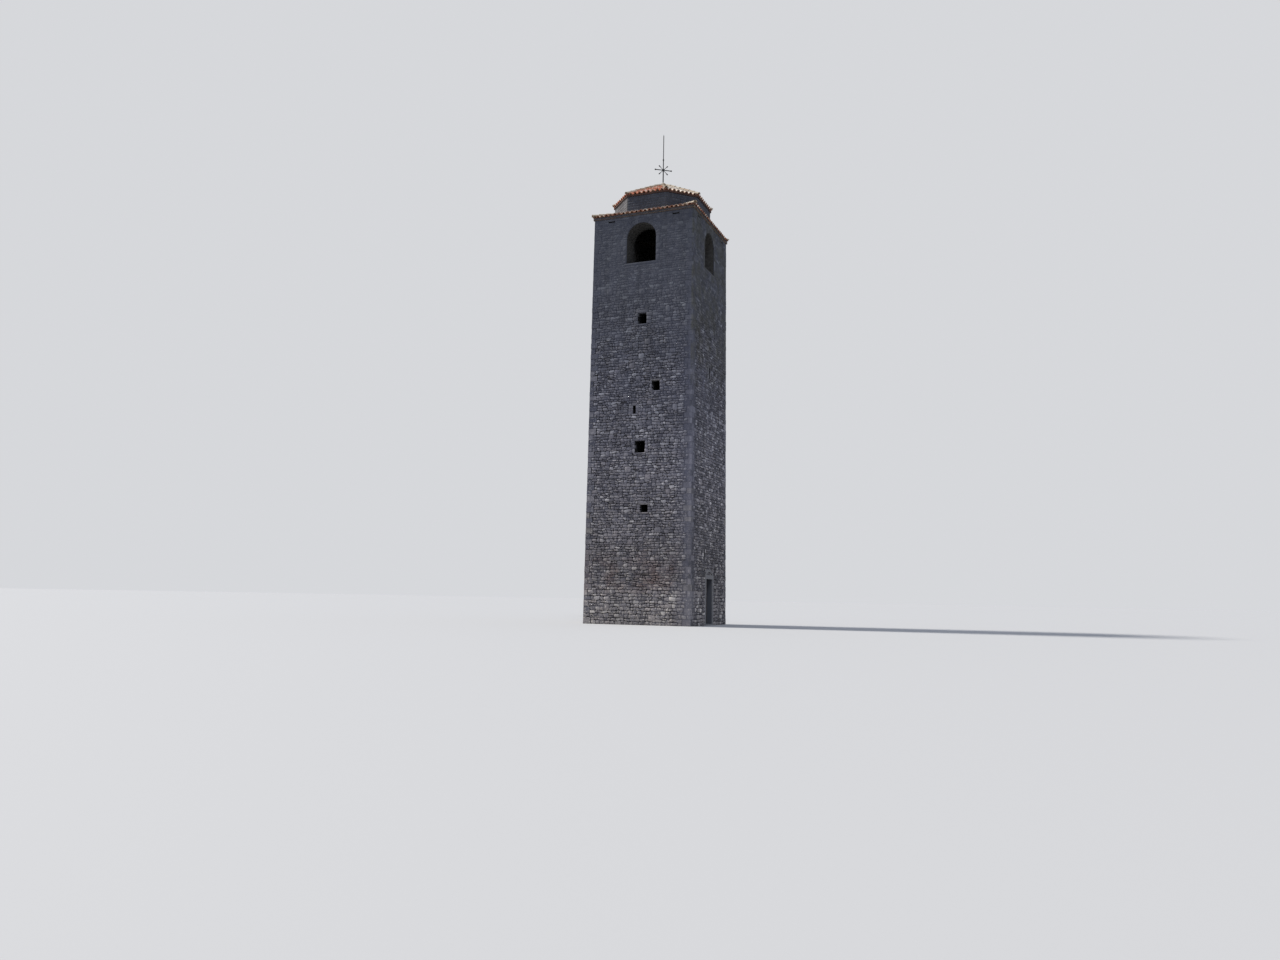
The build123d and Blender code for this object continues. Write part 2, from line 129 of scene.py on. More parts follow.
def fade(factor, start, end, low=0, high=1):
    """A factor that goes from low to high while its input goes from start to end."""
    inputs = {"Value": factor, "From Min": start, "From Max": end, "To Min": low, "To Max": high}
    return node("MapRange", inputs).outputs["Result"]


def mixed(factor, first, second, blend="MIX"):
    """Two colours mixed by a factor."""
    inputs = {0: factor, 6: first, 7: second}
    return node("Mix", inputs, data_type="RGBA", blend_type=blend).outputs[2]


def sums(operation, first, *others):
    """Arithmetic on factors, from the first to the last."""
    for other in others:
        first = node("Math", {0: first, 1: other}, operation=operation).outputs[0]
    return first


times, greatest = partial(sums, "MULTIPLY"), partial(sums, "MAXIMUM")


def axes(place):
    """The x, y and z of coordinates."""
    return node("SeparateXYZ", {"Vector": place}).outputs


def plan_reach(x, y):
    """How far out a place is, as the walls of a square plan are."""
    return greatest(sums("ABSOLUTE", x, 0.0), sums("ABSOLUTE", y, 0.0))


def relief(height, depth, strength=1.0, under=None):
    """Bump on a surface, depth in metres, over an earlier bump if there is one."""
    inputs = {"Height": height, "Distance": depth, "Strength": strength}
    if under:
        inputs["Normal"] = under
    made = node("Bump", inputs).outputs["Normal"]
    feed(made.id_data.nodes["Principled BSDF"], "Normal", made)
    return made


def smeared(place):
    """Where mortar was smeared over the joints: one corner, round the belfry and in patches."""
    x, y, z = axes(place)
    corner = times(fade(x, 1.45, 2.0), fade(y, -1.45, -2.0, 0, 0.8))
    blots = fade(noise(place, 0.6, 4), 0.50, 0.60)
    patch = times(blots, fade(z, 6.5, 10.0, 0, 0.75))
    top = fade(z, 11.6, 14.4)
    return greatest(corner, patch, top)


def pointing(grain):
    """The colour of mortar that was smeared flush with the stones."""
    return ramp(grain, shades((0.3, 94, 96, 108), (0.7, 117, 117, 126)))


# Painted shade and painted light tint on the walls, at shares of their height: darker and bluer up
# high, lighter and warmer at the foot
shade_gradient_top = 17.5
painted_shade_tones = ((0.07, 0.78), (0.11, 0.62), (0.37, 0.63), (0.57, 0.47), (0.74, 0.32), (0.97, 0.27))
painted_light_tints = (
    (0.0, (1.0, 0.94, 0.87)),
    (0.3, (0.97, 0.95, 1.0)),
    (0.55, (0.95, 0.97, 1.10)),
    (0.9, (0.93, 1.0, 1.12)),
)


def weathered_and_shaded(place, colour):
    """A wall colour with painted shade that darkens it with height, a painted light tint, and real
    weathering in streaks and patches.
    """
    rise = fade(axes(place)["Z"], 0, shade_gradient_top)
    # Painted shade: the wall is darker the higher it stands
    shade = ramp(rise, [(share, [tone] * 3 + [1]) for share, tone in painted_shade_tones])
    streaks = noise(stretched(place, (3.2, 3.2, 0.22)), 1.0, 6)
    run = fade(streaks, 0.42, 0.68, 1.0, 0.78)
    patches = fade(noise(place, 0.55, 4), 0.3, 0.7, 0.86, 1.12)
    light = times(fade(axes(shade)["X"], 0, 1, 0, 1.3), run, patches)
    grey = node("CombineColor", {i: light for i in range(3)}).outputs[0]
    # Painted light tint: bluer up high, warmer at the foot
    tint = ramp(rise, [(share, [*shares, 1]) for share, shares in painted_light_tints])
    return mixed(1.0, mixed(1.0, colour, tint, "MULTIPLY"), grey, "MULTIPLY")


core_look, place = finish("lime_mortar_core")
wander = node("TexNoise", {"Vector": place, "Scale": 2.4, "Detail": 3}).outputs["Color"]
cells = stretched(mixed(0.16, place, wander, "LINEAR_LIGHT"), (5.2, 5.2, 8.4))
cell_inputs = {"Vector": cells, "Scale": 1.0}
cell = node("TexVoronoi", cell_inputs).outputs["Color"]
rims = node("TexVoronoi", cell_inputs, feature="DISTANCE_TO_EDGE")
bedding = fade(rims.outputs["Distance"], 0.02, 0.09)
rubble_shades = shades((0, 98, 92, 84), (0.5, 107, 101, 92), (1, 116, 110, 101))
rubble = ramp(axes(cell)["X"], rubble_shades)
grain = noise(place, 38, 6)
mortar = ramp(grain, shades((0.3, 90, 84, 76), (0.7, 105, 98, 88)))

# In the belfry's openings, which are limed, the core keeps its colours; elsewhere inside the walls, in
# the rooms and window reveals, it is painted near black as painted shade
x, y, z = axes(place)
reach = plan_reach(x, y)
limed = times(fade(z, 14.5, 14.7), fade(reach, 1.40, 1.50))
painted_dark_inside = mixed(limed, linear(30, 28, 27), mixed(bedding, mortar, rubble))

# The outer face draws in by 0.07 m up to the wall top. Where its joints are open they are painted near
# black, as painted shade in their depth
outer_face = sums("GREATER_THAN", sums("ADD", reach, fade(z, 0, 17, 0, 0.07)), 2.28)
open_joint_shade = ramp(grain, shades((0.3, 14, 13, 16), (0.7, 34, 32, 36)))
filled = fade(noise(stretched(place, (1, 1, 1.6)), 2.2, 5), 0.49, 0.62, 0.0, 0.7)
covered = greatest(smeared(place), filled)
joint = mixed(covered, open_joint_shade, pointing(grain))
# The core's colour gets painted shade and tint with height, over weathering streaks and patches
surface(core_look, weathered_and_shaded(place, mixed(outer_face, painted_dark_inside, joint)), 0.95)
relief(grain, 0.01, under=relief(bedding, 0.006))

side_angles = {"front": 0, "right": 90, "back": 180, "left": 270}
core_nodes = [f"{side}_{part}" for side in side_angles for part in ("wall_upper", "belfry_wall")]
core_nodes += ["front_wall_lower", "back_wall_lower", "left_wall_lower"]
core_nodes += ["right_wall_left_of_door", "right_wall_right_of_door", "right_wall_over_door"]
core_nodes += [f"lantern_{side}_wall" for side in side_angles] + ["lantern_corner_walls"]


def dress(names, look):
    """Gives CAD nodes that stay in view their material."""
    for name in names:
        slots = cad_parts[name].data.materials
        slots.clear()
        slots.append(look)


dress(core_nodes, core_look)


# Corner quoins: squared limestone blocks that tie the corners. Each is long on one face and short
# on the other, turn about, and about one foot course or two shaft courses high. They are laid in
# mortar with the walls, a little proud of them, and flush at one corner and round the belfry.


class Pile:
    """Stones, tiles or boards that are gathered into one mesh."""

    def __init__(self):
        self.points, self.faces = [], []

    def add(self, points, faces):
        """Puts one closed shape on the pile."""
        start = len(self.points)
        self.points += points
        self.faces += [[start + i for i in face] for face in faces]

    def skin(self, rings, centre=None):
        """Skins a shape over rings of points, closed at its foot and at its centre or top."""
        count = len(rings[0])
        points = [p for ring in rings for p in ring]
        faces = [list(range(count))[::-1]]
        for low in range(0, count * (len(rings) - 1), count):
            for i in range(count):
                j = (i + 1) % count
                faces.append([low + i, low + j, low + count + j, low + count + i])
        last = count * (len(rings) - 1)
        if centre is None:
            faces.append([last + i for i in range(count)])
        else:
            points.append(centre)
            faces += [[last + i, last + (i + 1) % count, last + count] for i in range(count)]
        self.add(points, faces)

    def piece(self, name, look, slot="rubble_masonry", body="tower", replaced=(), crease=45):
        """Makes the mesh and hangs it on its body. Edges past the crease angle stay sharp."""
        mesh = bpy.data.meshes.new(name)
        mesh.from_pydata(self.points, [], self.faces)
        mesh.validate()
        mesh.polygons.foreach_set("use_smooth", [True] * len(mesh.polygons))
        mesh.set_sharp_from_angle(angle=math.radians(crease))
        mesh.materials.append(look)
        made = add_object(name, mesh)
        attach(made, body)
        if replaced:
            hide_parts(*replaced)


def add_object(name, data):
    """A new object in the scene."""
    made = bpy.data.objects.new(name, data)
    bpy.context.scene.collection.objects.link(made)
    return made


def wall_point(angle, distance, across, level, proud):
    """A point on an upright wall face: from its middle, the ground and its plane."""
    turn = math.radians(angle)
    out = distance + proud
    x = across * math.cos(turn) + out * math.sin(turn)
    y = across * math.sin(turn) - out * math.cos(turn)
    return (x, y, level)


foot_half = -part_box("front_wall_lower")[0].y
belfry_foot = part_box("front_belfry_wall")[0]
wall_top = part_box("front_belfry_wall")[1].z
batter = (foot_half + belfry_foot.y) / belfry_foot.z


def half_width(level):
    """Half the width of the shaft at a level."""
    return foot_half - batter * level


def shaft_point(angle, across, level, proud):
    """A point on a side of the shaft, which leans in as it rises."""
    return wall_point(angle, half_width(level), across, level, proud)


foot_zone, flush_zone = 1.55, 14.3
foot_course, shaft_course, flush_course = 0.150, 0.114, 0.110


def course_height(level):
    """The usual height of a course at a level."""
    if level < foot_zone:
        return foot_course
    return shaft_course if level < flush_zone else flush_course


masons = random.Random(7)
course_levels = [0.0]
while wall_top - course_levels[-1] > 1.5 * flush_course:
    low = course_levels[-1]
    course_levels.append(low + course_height(low) * masons.uniform(0.78, 1.22))
course_levels.append(wall_top)

quoin_layers = []
layer_start = 0.0
for level in course_levels[1:]:
    if level - layer_start > 0.95 * foot_course or level == wall_top:
        quoin_layers.append((layer_start, level))
        layer_start = level

quoin_runs = [masons.uniform(0.16, 0.24) + 0.13 * (i % 2) for i in range(len(quoin_layers) + 1)]
quoin_bed = 0.05


def quoin_length(layer, angle):
    """How far the quoins of a layer run along a side, from its corners: long and short in turn."""
    return quoin_runs[layer + (angle % 180 == 0)]


def quoin_plan(angle, runs, face, edge, arris, level):
    """A quoin's outline at a level: along one side of the shaft, and back along the next."""
    half = half_width(level)
    here, there = runs
    on_side = [(here, -quoin_bed), (here, face - arris), (here - arris, face), (edge, face)]
    on_next = [(edge, face), (there - arris, face), (there, face - arris), (there, -quoin_bed)]
    first = [shaft_point(angle, half - a, level, out) for a, out in on_side]
    return first + [shaft_point(angle + 90, a - half, level, out) for a, out in on_next]


quoins = {name: Pile() for name in ("front_right", "back_right", "back_left", "front_left")}
pale_quoins = Pile()
pale_levels = ((1.4, 4.25, 4.6, 5.3), (3.65, 4.5))
for corner, (name, pile) in enumerate(quoins.items()):
    angle = 90 * corner
    for layer, (low, high) in enumerate(quoin_layers):
        runs = [quoin_length(layer, angle + a) - masons.uniform(0, 0.03) for a in (0, 90)]
        smooth = corner == 0 or low > flush_zone
        proud, arris = masons.uniform(0.004, 0.010), masons.uniform(0.004, 0.009)
        if not smooth:
            proud, arris = proud + masons.uniform(0, 0.010), arris + masons.uniform(0.002, 0.008)
        joint = 0.0025 if smooth else masons.uniform(0.004, 0.008)
        levels = (low + joint, low + joint + arris, high - joint - arris, high - joint)
        rings = [
            quoin_plan(angle, runs, proud - drawn_in, arris + drawn_in, arris, level)
            for level, drawn_in in zip(levels, (arris, 0.0, 0.0, arris))
        ]
        is_pale = any(low < level < high for level in pale_levels[corner % 2])
        (pale_quoins if is_pale else pile).skin(rings)


def iron_stained(place, tone):
    """A brown stain in patches low on the walls, which fades towards the doorway's side."""
    x, y, z = axes(place)
    band = times(fade(z, 1.1, 1.6), fade(z, 2.2, 3.4, 1, 0))
    patches = fade(noise(place, 1.1, 4), 0.38, 0.62)
    return mixed(times(band, patches, fade(x, 2.0, 1.5), 0.5), tone, linear(106, 80, 70))


def shaded_side(place, own, tone):
    """The doorway's side: stones that differ more in tone, with algae high on it."""
    x, y, z = axes(place)
    right_side = fade(x, 2.14, 2.2)
    tone = mixed(right_side, tone, fade(own, 0, 1, 0.68, 1.30), "MULTIPLY")
    patches = fade(noise(place, 1.7, 4), 0.40, 0.60)
    algae = times(right_side, fade(z, 8.5, 12.0), patches, 0.6)
    return mixed(algae, tone, linear(104, 100, 80))


def stone_look(name, stops, rise=0.45, scars=0.6, smear=0.6):
    """A limestone finish: each stone its own tone, with mottling, pale scars and rough grain."""
    made, place = finish(name)
    own = own_share(place)
    mottle = noise(place, 9, 6, 0.65)
    darker = fade(mottle, 0.35, 0.75, 0, 0.5)
    tone = mixed(darker, ramp(own, stops), linear(84, 81, 86))
    scar = fade(noise(place, 15, 5, 0.7), 0.53, 0.63, 0, scars)
    scar = times(scar, fade(axes(place)["Z"], 0.8, 3.0, 1.5, 1.0))
    tone = mixed(scar, tone, linear(196, 192, 186))
    tone = mixed(times(smeared(place), smear), tone, pointing(mottle))
    tone = shaded_side(place, own, iron_stained(place, tone))
    # The stone's colour gets painted shade and tint with height, over weathering streaks and patches
    surface(made, weathered_and_shaded(place, tone), 0.9)
    grain = relief(noise(place, 60, 8, 0.7), 0.006)
    relief(noise(place, 14, 4), 0.02, rise, grain)
    return made


quoin_shades = shades((0, 76, 79, 92), (0.6, 110, 111, 121), (1, 152, 149, 150))
quoin_look = stone_look("quoin_limestone", quoin_shades, rise=0.35, scars=0.7, smear=0.8)
quoin_crease = 25
for name, pile in quoins.items():
    pile.piece(f"{name}_quoins", quoin_look, crease=quoin_crease)


# Window stones: every window has a lintel that bears on the wall at both ends, three jamb stones
# a side and a thin sill, all bedded deep in the wall. Two windows were given dressed lintels,
# which are paler.


def middle_of(outline):
    """The middle of an outline's corners."""
    return [sum(p[i] for p in outline) / len(outline) for i in (0, 1)]


def squeezed(outline, gap):
    """A convex outline drawn in towards its middle: by half a bed joint, and less at its ends."""
    mid = middle_of(outline)
    half = [max(abs(p[i] - mid[i]) for p in outline) for i in (0, 1)]
    share = [max(0.2, 1 - g / h) for g, h in zip((0.75 * gap, gap), half)]
    return [tuple(mid[i] + (p[i] - mid[i]) * share[i] for i in (0, 1)) for p in outline]


def knocked(outline, rough, stones):
    """An outline with its corners knocked off, each by its own amount."""
    made = []
    for i, corner in enumerate(outline):
        for other in (outline[i - 1], outline[(i + 1) % len(outline)]):
            length = max(1e-3, math.dist(corner, other))
            share = min(0.42, rough * stones.uniform(0.35, 1.1) / length)
            made.append(tuple(corner[k] + (other[k] - corner[k]) * share for k in (0, 1)))
    return made


def lay_stone(pile, to_world, outline, proud, rough, stones, gap=0.006, bed=0.03):
    """Beds one facing stone: straight sides in the core, a rounded brow and an uneven face."""
    worn = knocked(squeezed(outline, gap), 0.65 * rough, stones)
    low = [to_world(a, b, -bed) for a, b in worn]
    brim = [to_world(a, b, proud * stones.uniform(0.2, 0.45)) for a, b in worn]
    inner = squeezed(worn, 0.6 * rough)
    top = [to_world(a, b, proud * stones.uniform(0.8, 1.0)) for a, b in inner]
    centre = to_world(*middle_of(inner), proud * stones.uniform(0.95, 1.1))
    pile.skin([low, brim, top], centre)


def block(left, right, low, high):
    """A rectangle's corners, anticlockwise as seen from outside."""
    return [(left, low), (right, low), (right, high), (left, high)]


def wedge(across, level, inner, outer, start, end):
    """The corners of an arch stone round a centre, between two turns from the right."""
    corners = [(inner, start), (outer, start), (outer, end), (inner, end)]
    return [(across + r * math.cos(t), level + r * math.sin(t)) for r, t in corners]


# Each window's middle across its side, then its sill, width and height
front_windows = {
    "low": (0.258, 4.48, 0.35, 0.32),
    "middle": (0.041, 6.91, 0.45, 0.505),
    "slot": (-0.235, 8.52, 0.12, 0.36),
    "high": (0.690, 9.44, 0.35, 0.43),
    "top": (0.037, 12.28, 0.40, 0.48),
}
side_slots = {"low_slot": (-0.625, 2.62, 0.11, 0.47), "high_slot": (-0.1, 10.265, 0.11, 0.49)}
windows = {"front": front_windows, "back": front_windows, "right": side_slots, "left": side_slots}
dressed_windows = ("low", "high")
slot_width, jambs, deep_bed = 0.3, 3, 0.15

# What each side holds, as left, right, low and high edges: open holes, and walling already built
openings = {side: [] for side in side_angles}
taken = {side: [] for side in side_angles}

pale_stones, window_stones = Pile(), Pile()
for side, holes in windows.items():
    on_side = partial(shaft_point, side_angles[side])
    for hole, (offset, sill, width, height) in holes.items():
        left, right, head = offset - width / 2, offset + width / 2, sill + height
        pale, wide = hole in dressed_windows, width > slot_width
        bearing = 0.09 if pale else masons.uniform(0.05, 0.12)
        rise = 0.05 if pale else masons.uniform(0.09, 0.12)
        lintel = (left - bearing, right + bearing, head - 0.006, head + rise)
        pile, rough = (pale_stones, 0.012) if pale else (window_stones, 0.03)
        lay_stone(pile, on_side, block(*lintel), 0.014, rough, masons, 0.003, deep_bed)
        slabs = [(left - 0.07, right + 0.05, sill - 0.055, sill + masons.uniform(0.004, 0.012))]
        for i in range(jambs):
            low, high = sill + i * height / jambs, sill + (i + 1) * height / jambs
            for edge, way in ((left, -1), (right, 1)):
                near = edge - way * (masons.uniform(0, 0.02) if wide else 0)
                far = edge + way * masons.uniform(0.09, 0.24)
                slabs.append((min(near, far), max(near, far), low, high))
        for slab in slabs:
            proud, rough = (masons.uniform(0.014, 0.032), 0.045) if wide else (0.004, 0.03)
            lay_stone(window_stones, on_side, block(*slab), proud, rough, masons, 0.006, deep_bed)
        taken[side] += [lintel, *slabs]
        openings[side].append((left, right, sill, head))

dressed_shades = shades((0, 124, 124, 126), (0.5, 138, 136, 133), (1, 152, 148, 143))
dressed_look = stone_look("dressed_limestone", dressed_shades, rise=0.2)
facing_shades = shades((0, 82, 82, 90), (0.2, 108, 107, 114), (0.55, 131, 130, 136))
facing_shades += shades((0.75, 140, 136, 138), (0.92, 166, 165, 167), (1, 202, 200, 198))
facing_look = stone_look("rubble_limestone", facing_shades)
pale_stones.piece("dressed_window_stones", dressed_look, "dressed_stone")
pale_quoins.piece("pale_quoins", dressed_look, crease=quoin_crease)
window_stones.piece("window_stones", facing_look)


# Belfry arch stones: each belfry opening has a flush ring of tapered voussoirs, cut to a half
# circle, on two columns of squared jamb stones, with a flat sill stone under them.

# Each opening's middle across its side, and its width
belfry_arches = {
    "front": (-0.070, 1.31),
    "back": (0.070, 1.31),
    "right": (-0.147, 1.24),
    "left": (0.147, 1.24),
}
arch_sill, arch_springing, arch_ring = 14.94, 16.0, 0.2
arch_rough, arch_gap = 0.02, 0.004
arch_stones = Pile()
for side, (offset, width) in belfry_arches.items():
    on_side = partial(shaft_point, side_angles[side])
    inner, outer = width / 2 + 0.004, width / 2 + arch_ring
    turns = [0]
    while turns[-1] < math.pi - 0.001:
        step = masons.uniform(0.13, 0.24)
        turns.append(math.pi if turns[-1] + 1.5 * step > math.pi else turns[-1] + step)
    for start, end in zip(turns, turns[1:]):
        outline = wedge(offset, arch_springing, inner, outer, start, end)
        proud = masons.uniform(0.005, 0.009)
        lay_stone(arch_stones, on_side, outline, proud, arch_rough, masons, arch_gap)
    slabs = [(offset - inner - 0.1, offset + inner + 0.1, arch_sill - 0.09, arch_sill)]
    for edge, way in ((offset - inner, -1), (offset + inner, 1)):
        level = arch_sill
        while level < arch_springing - 0.01:
            top = level + masons.uniform(0.14, 0.26)
            top = arch_springing if arch_springing - top < 0.1 else top
            far = edge + way * masons.choice((0.16, 0.28)) * masons.uniform(0.85, 1.15)
            slabs.append((min(edge, far), max(edge, far), level, top))
            level = top
    for slab in slabs:
        proud = masons.uniform(0.005, 0.009)
        lay_stone(arch_stones, on_side, block(*slab), proud, arch_rough, masons, arch_gap)
    taken[side] += slabs
    openings[side].append((offset - inner, offset + inner, arch_sill, arch_springing + inner))
    taken[side].append((offset - inner, offset + inner, arch_sill, arch_springing))
arch_stones.piece("belfry_arch_stones", facing_look)


# Facing stones: limestone rubble, roughly squared and brought to wavy courses. Large blocks lie at
# the foot, small stones with deep open joints up the shaft, and finer stones pointed flush round
# the belfry. They are cut to fit against the rings of voussoirs.

beam_holes = {"front": 1.445, "back": 1.445, "right": 1.560, "left": 1.560}
beam_half, beam_low, beam_high = 0.14, 16.825, 16.875
for side, offset in beam_holes.items():
    for across in (-offset, offset):
        openings[side].append((across - beam_half, across + beam_half, beam_low, beam_high))

frame_half, lintel_top = 0.545, 2.05
door_arch_centre, door_arch_outer, door_arch_top = 1.56, 0.738, 2.4
openings["right"].append((-frame_half, frame_half, 0.0, lintel_top))
taken["right"] += [(-0.50, 0.50, lintel_top, 2.10), (-0.40, 0.40, 2.10, 2.18)]

# Circles that the facing stones stop at: their middle across the side, its level and their radius
arch_circles = {
    side: [(offset, arch_springing, width / 2 + arch_ring)]
    for side, (offset, width) in belfry_arches.items()
}
arch_circles["right"].append((0.0, door_arch_centre, door_arch_outer + 0.01))


def free_parts(low, high, rests):
    """The parts of a height that no blocked range covers."""
    parts = [(low, high)]
    for start, end in rests:
        parts = [
            piece
            for a, b in parts
            for piece in ((a, min(b, start)), (max(a, end), b))
            if piece[1] - piece[0] > 0.03
        ]
    return parts


def cut_outside(outline, centre, radius):
    """A stone's outline cut straight where it would run into a ring of voussoirs."""
    mid = middle_of(outline)
    reach = math.dist(mid, centre)
    way = [(mid[i] - centre[i]) / reach for i in (0, 1)]
    depth = [sum((p[i] - centre[i]) * way[i] for i in (0, 1)) - radius for p in outline]
    made = []
    for i, point in enumerate(outline):
        before, after = depth[i - 1], depth[i]
        if (before > 0) != (after > 0):
            share = before / (before - after)
            last = outline[i - 1]
            made.append(tuple(last[k] + (point[k] - last[k]) * share for k in (0, 1)))
        if after > 0:
            made.append(point)
    return made


def too_small(outline):
    """Whether a stone was cut away, or to a sliver."""
    spans = [max(p[i] for p in outline) - min(p[i] for p in outline) for i in (0, 1) if outline]
    return min(spans, default=0) < 0.035


def widths(span, usual, stones):
    """A row of stone widths that fills a span."""
    count = max(1, round(span / usual))
    shares = [stones.uniform(0.5, 1.55) for _ in range(count)]
    return [span * share / sum(shares) for share in shares]


def fill_course(low, high, left, right, blocked, stones, usual, split):
    """Outlines of the stones of one course, with leaning joints, round what is already built."""
    edges = sorted({left, right, *(min(max(e, left), right) for b in blocked for e in b[:2])})
    runs = []
    for start, end in zip(edges, edges[1:]):
        over = [b[2:] for b in blocked if b[0] < (start + end) / 2 < b[1]]
        parts = tuple(free_parts(low, high, over))
        if runs and runs[-1][2] == parts:
            runs[-1][1] = end
        else:
            runs.append([start, end, parts])
    for start, end, parts in runs:
        for bottom, top in parts:
            row = widths(end - start, usual, stones)
            at, lean = start, 0.0
            for i, width in enumerate(row):
                after = at + width
                next_lean = 0.0 if i == len(row) - 1 else stones.uniform(-0.034, 0.034)
                corners = [(at + lean, bottom), (after + next_lean, bottom)]
                corners += [(after - next_lean, top), (at - lean, top)]
                if stones.random() < split and top - bottom > 0.1:
                    beds = [bottom + (top - bottom) * stones.uniform(0.38, 0.62) for _ in (0, 1)]
                    shelf = [(at, beds[0]), (after, beds[1])]
                    yield [corners[0], corners[1], shelf[1], shelf[0]]
                    yield [shelf[0], shelf[1], corners[2], corners[3]]
                elif width > 0.04:
                    yield corners
                at, lean = after, next_lean


# Waves of the bed joints: the least and most pitch, and how far each wave sags
bed_waves = (((0.7, 1.8), 0.011), ((3.5, 6.5), 0.013), ((11, 17), 0.016))


def stray(bed, across):
    """How far a bed joint strays from its level at a place along the wall."""
    return sum(sag * math.sin(pitch * across + start) for pitch, start, sag in bed)


def clearance(across, level, holes):
    """How far a place on a wall is from the nearest opening."""
    gaps = [
        math.hypot(max(a - across, 0, across - b), max(low - level, 0, level - high))
        for a, b, low, high in holes
    ]
    return min(gaps, default=1)


def wavy_side(angle, beds, holes):
    """Places on a side of the shaft, on wavy courses that run level past its openings."""

    def on_side(across, level, proud):
        """A point on this side."""
        k = max(0, min(len(beds) - 2, bisect.bisect_right(course_levels, level) - 1))
        share = (level - course_levels[k]) / (course_levels[k + 1] - course_levels[k])
        rise = (1 - share) * stray(beds[k], across) + share * stray(beds[k + 1], across)
        ease = min(1, 8 * clearance(across, level, holes))
        return shaft_point(angle, across, level + ease * rise, proud)

    return on_side


lower_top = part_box("front_wall_lower")[1].z
stage_tops = ((lower_top, "lower"), (belfry_foot.z, "upper"), (math.inf, "belfry"))
facing = {}


def facing_pile(side, level):
    """The pile for the facing stones of a side at a level: one for each stage of the wall."""
    stage = next(name for top, name in stage_tops if level < top)
    return facing.setdefault(f"{side}_{stage}_facing", Pile())


def lay_jumpers(side, on_side, stones):
    """Big stones that rise through two courses, clear of what is already built."""
    clear = 0.1
    for low, high in zip(course_levels[1:-3], course_levels[3:-1]):
        if stones.random() > 0.5 or high > flush_zone:
            continue
        left = stones.uniform(-1.65, 1.45)
        right = left + stones.uniform(0.20, 0.32)
        built = [b for b in taken[side] + openings[side] if b[3] > low - clear and b[2] < high + clear]
        if any(b[0] < right + clear and b[1] > left - clear for b in built):
            continue
        taken[side].append((left, right, low, high))
        pile, proud = facing_pile(side, (low + high) / 2), stones.uniform(0.016, 0.030)
        lay_stone(pile, on_side, block(left, right, low, high), proud, 0.07, stones, 0.01)


def course_style(level):
    """The stones of a course: usual width, share laid in two, roughness, and the least and most
    that they stand proud and leave for their joints."""
    if level < foot_zone:
        return 0.19, 0.08, 0.05, (0.012, 0.040), (0.006, 0.017)
    if level < flush_zone:
        flat = max(0.25, min(1, (flush_zone - level) / 3.5))
        return 0.17, 0.12, 0.052, (0.014 * flat, 0.038 * flat), (0.005, 0.007 + 0.009 * flat)
    return 0.22, 0.05, 0.03, (0.003, 0.008), (0.004, 0.008)


def lay_courses(side, on_side, stones):
    """Every course of a side, from quoin to quoin, round what is already built."""
    for low, high in zip(course_levels, course_levels[1:]):
        middle = (low + high) / 2
        layer = next(i for i, (a, b) in enumerate(quoin_layers) if a < middle < b)
        reach = half_width(middle) - quoin_length(layer, side_angles[side])
        blocked = [b for b in taken[side] + openings[side] if b[3] > low and b[2] < high]
        usual, split, rough, proud, gap = course_style(low)
        pile = facing_pile(side, middle)
        for outline in fill_course(low, high, -reach, reach, blocked, stones, usual, split):
            for across, level, radius in arch_circles[side]:
                near = outline and math.dist(outline[0], (across, level)) < radius + 0.7
                if near and (high > arch_springing or lintel_top < high < door_arch_top):
                    outline = cut_outside(outline, (across, level), radius)
            if not too_small(outline):
                out, joint = stones.uniform(*proud), stones.uniform(*gap)
                lay_stone(pile, on_side, outline, out, rough, stones, joint)


for side, angle in side_angles.items():
    stones = random.Random(angle + 11)
    beds = []
    for level in course_levels:
        waves = [(stones.uniform(*p), stones.uniform(0, math.tau), sag) for p, sag in bed_waves]
        beds.append(waves if 0 < level < wall_top else [])
    on_side = wavy_side(angle, beds, openings[side])
    lay_jumpers(side, on_side, stones)
    lay_courses(side, on_side, stones)

for name, pile in facing.items():
    pile.piece(name, facing_look)


# Doorway stones: a threshold, two jambs and a lintel of pale dressed limestone, and over them a
# low relieving arch of nine voussoirs, with small stones in the sunk wall under it. All are
# bedded in the wall, and the arch stands a little proud of it.

door_stone_look, place = finish("doorway_limestone")
grain = noise(place, 21, 6)
pale = ramp(grain, shades((0.3, 108, 108, 113), (0.7, 140, 137, 134)))
# Back from the wall face, inside the doorway, the stone is painted darker: painted shade in the
# reveals
reveal_shade = fade(axes(place)["X"], 2.305, 2.26)
surface(door_stone_look, mixed(reveal_shade, pale, linear(80, 82, 88)), 0.9)
relief(grain, 0.006)
dress(["threshold", "door_jambs", "door_lintel", "relieving_arch"], door_stone_look)

door_arch_inner, recess = 0.62, 0.03


def in_recess(across, level, proud):
    """A point on the sunk wall between the lintel and its arch."""
    return shaft_point(90, across, level, proud - recess)


small_stones = Pile()
cuts = (-0.31, -0.15, 0.02, 0.17, 0.32)
for left, right in zip(cuts, cuts[1:]):
    heads = [door_arch_centre + math.sqrt(door_arch_inner**2 - a * a) - 0.008 for a in (right, left)]
    outline = [(left, lintel_top), (right, lintel_top), (right, heads[0]), (left, heads[1])]
    lay_stone(small_stones, in_recess, outline, masons.uniform(0.01, 0.025), 0.03, masons)
small_stones.piece("stones_over_lintel", facing_look)

